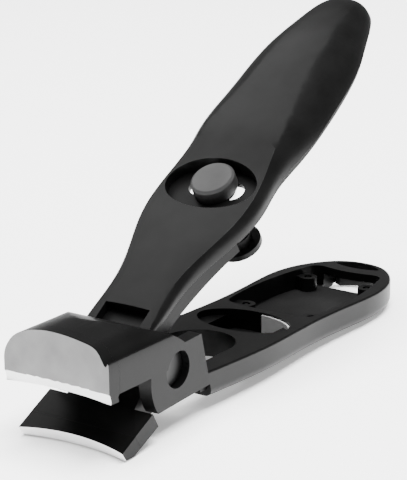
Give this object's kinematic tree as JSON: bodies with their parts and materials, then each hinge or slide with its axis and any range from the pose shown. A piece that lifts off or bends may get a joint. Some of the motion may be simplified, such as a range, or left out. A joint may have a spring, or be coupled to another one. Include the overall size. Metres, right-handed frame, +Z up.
{
  "type": "nail clipper",
  "caption": "Lever nail clipper with a wide hinged jaw, a tray-shaped handle that catches clippings and a sliding latch that holds it shut.",
  "frame": {"origin": "on the flat underside of the lower handle, 36 mm behind the hinge axis, on the middle plane", "axes": "+X back along the handle, +Y to the left seen from behind the jaws looking forward, +Z up out of the handle"},
  "size_m": [0.0722, 0.0178, 0.046],
  "materials": {
    "black_handle": "satin black",
    "black_base": "matte dark grey",
    "black_screw": "blackened",
    "black_steel": "black coated steel",
    "blade_steel": "ground and polished",
    "bright_steel": "plain",
    "pin_steel": "dark",
    "spring_steel": "bright",
    "bush_brass": "plain",
    "washer_plastic": "matte",
    "knob_metal": "satin grey"
  },
  "bodies": {
    "frame": {"handle_tray": "black_handle", "tray_base": "black_base", "tray_screws": "black_screw", "upper_jaw": "black_steel", "handle_rivets": "bright_steel", "upper_blade": "blade_steel", "upper_blade_pins": "bright_steel", "hinge_pin": "pin_steel", "return_spring": "spring_steel", "catch_leaf": "spring_steel"},
    "lever": {"lower_jaw": "black_steel", "lower_blade": "blade_steel", "lower_blade_pins": "bright_steel", "hinge_bush": "bush_brass", "hinge_washers": "washer_plastic", "lever_shell": "black_handle", "lever_liner": "black_base", "liner_screws": "black_screw", "arm_screws": "black_screw", "latch_guide": "black_steel"},
    "latch": {"latch_knob": "knob_metal", "latch_post": "pin_steel", "latch_clip": "spring_steel", "latch_foot": "black_steel"}
  },
  "joints": [
    {"name": "lever_hinge", "type": "hinge", "parent": "frame", "child": "lever", "pos_m": [-0.036, 0, 0.006], "axis": [0, 1, 0], "range_deg": [0, 29.4], "stiffness_Nm_per_rad": 0.08, "springref_deg": -45.84, "deforming": ["return_spring"]},
    {"name": "latch_slide", "type": "slide", "parent": "lever", "child": "latch", "axis": [0, 1, 0], "range_m": [-0.0026, 0.0026]}
  ]
}
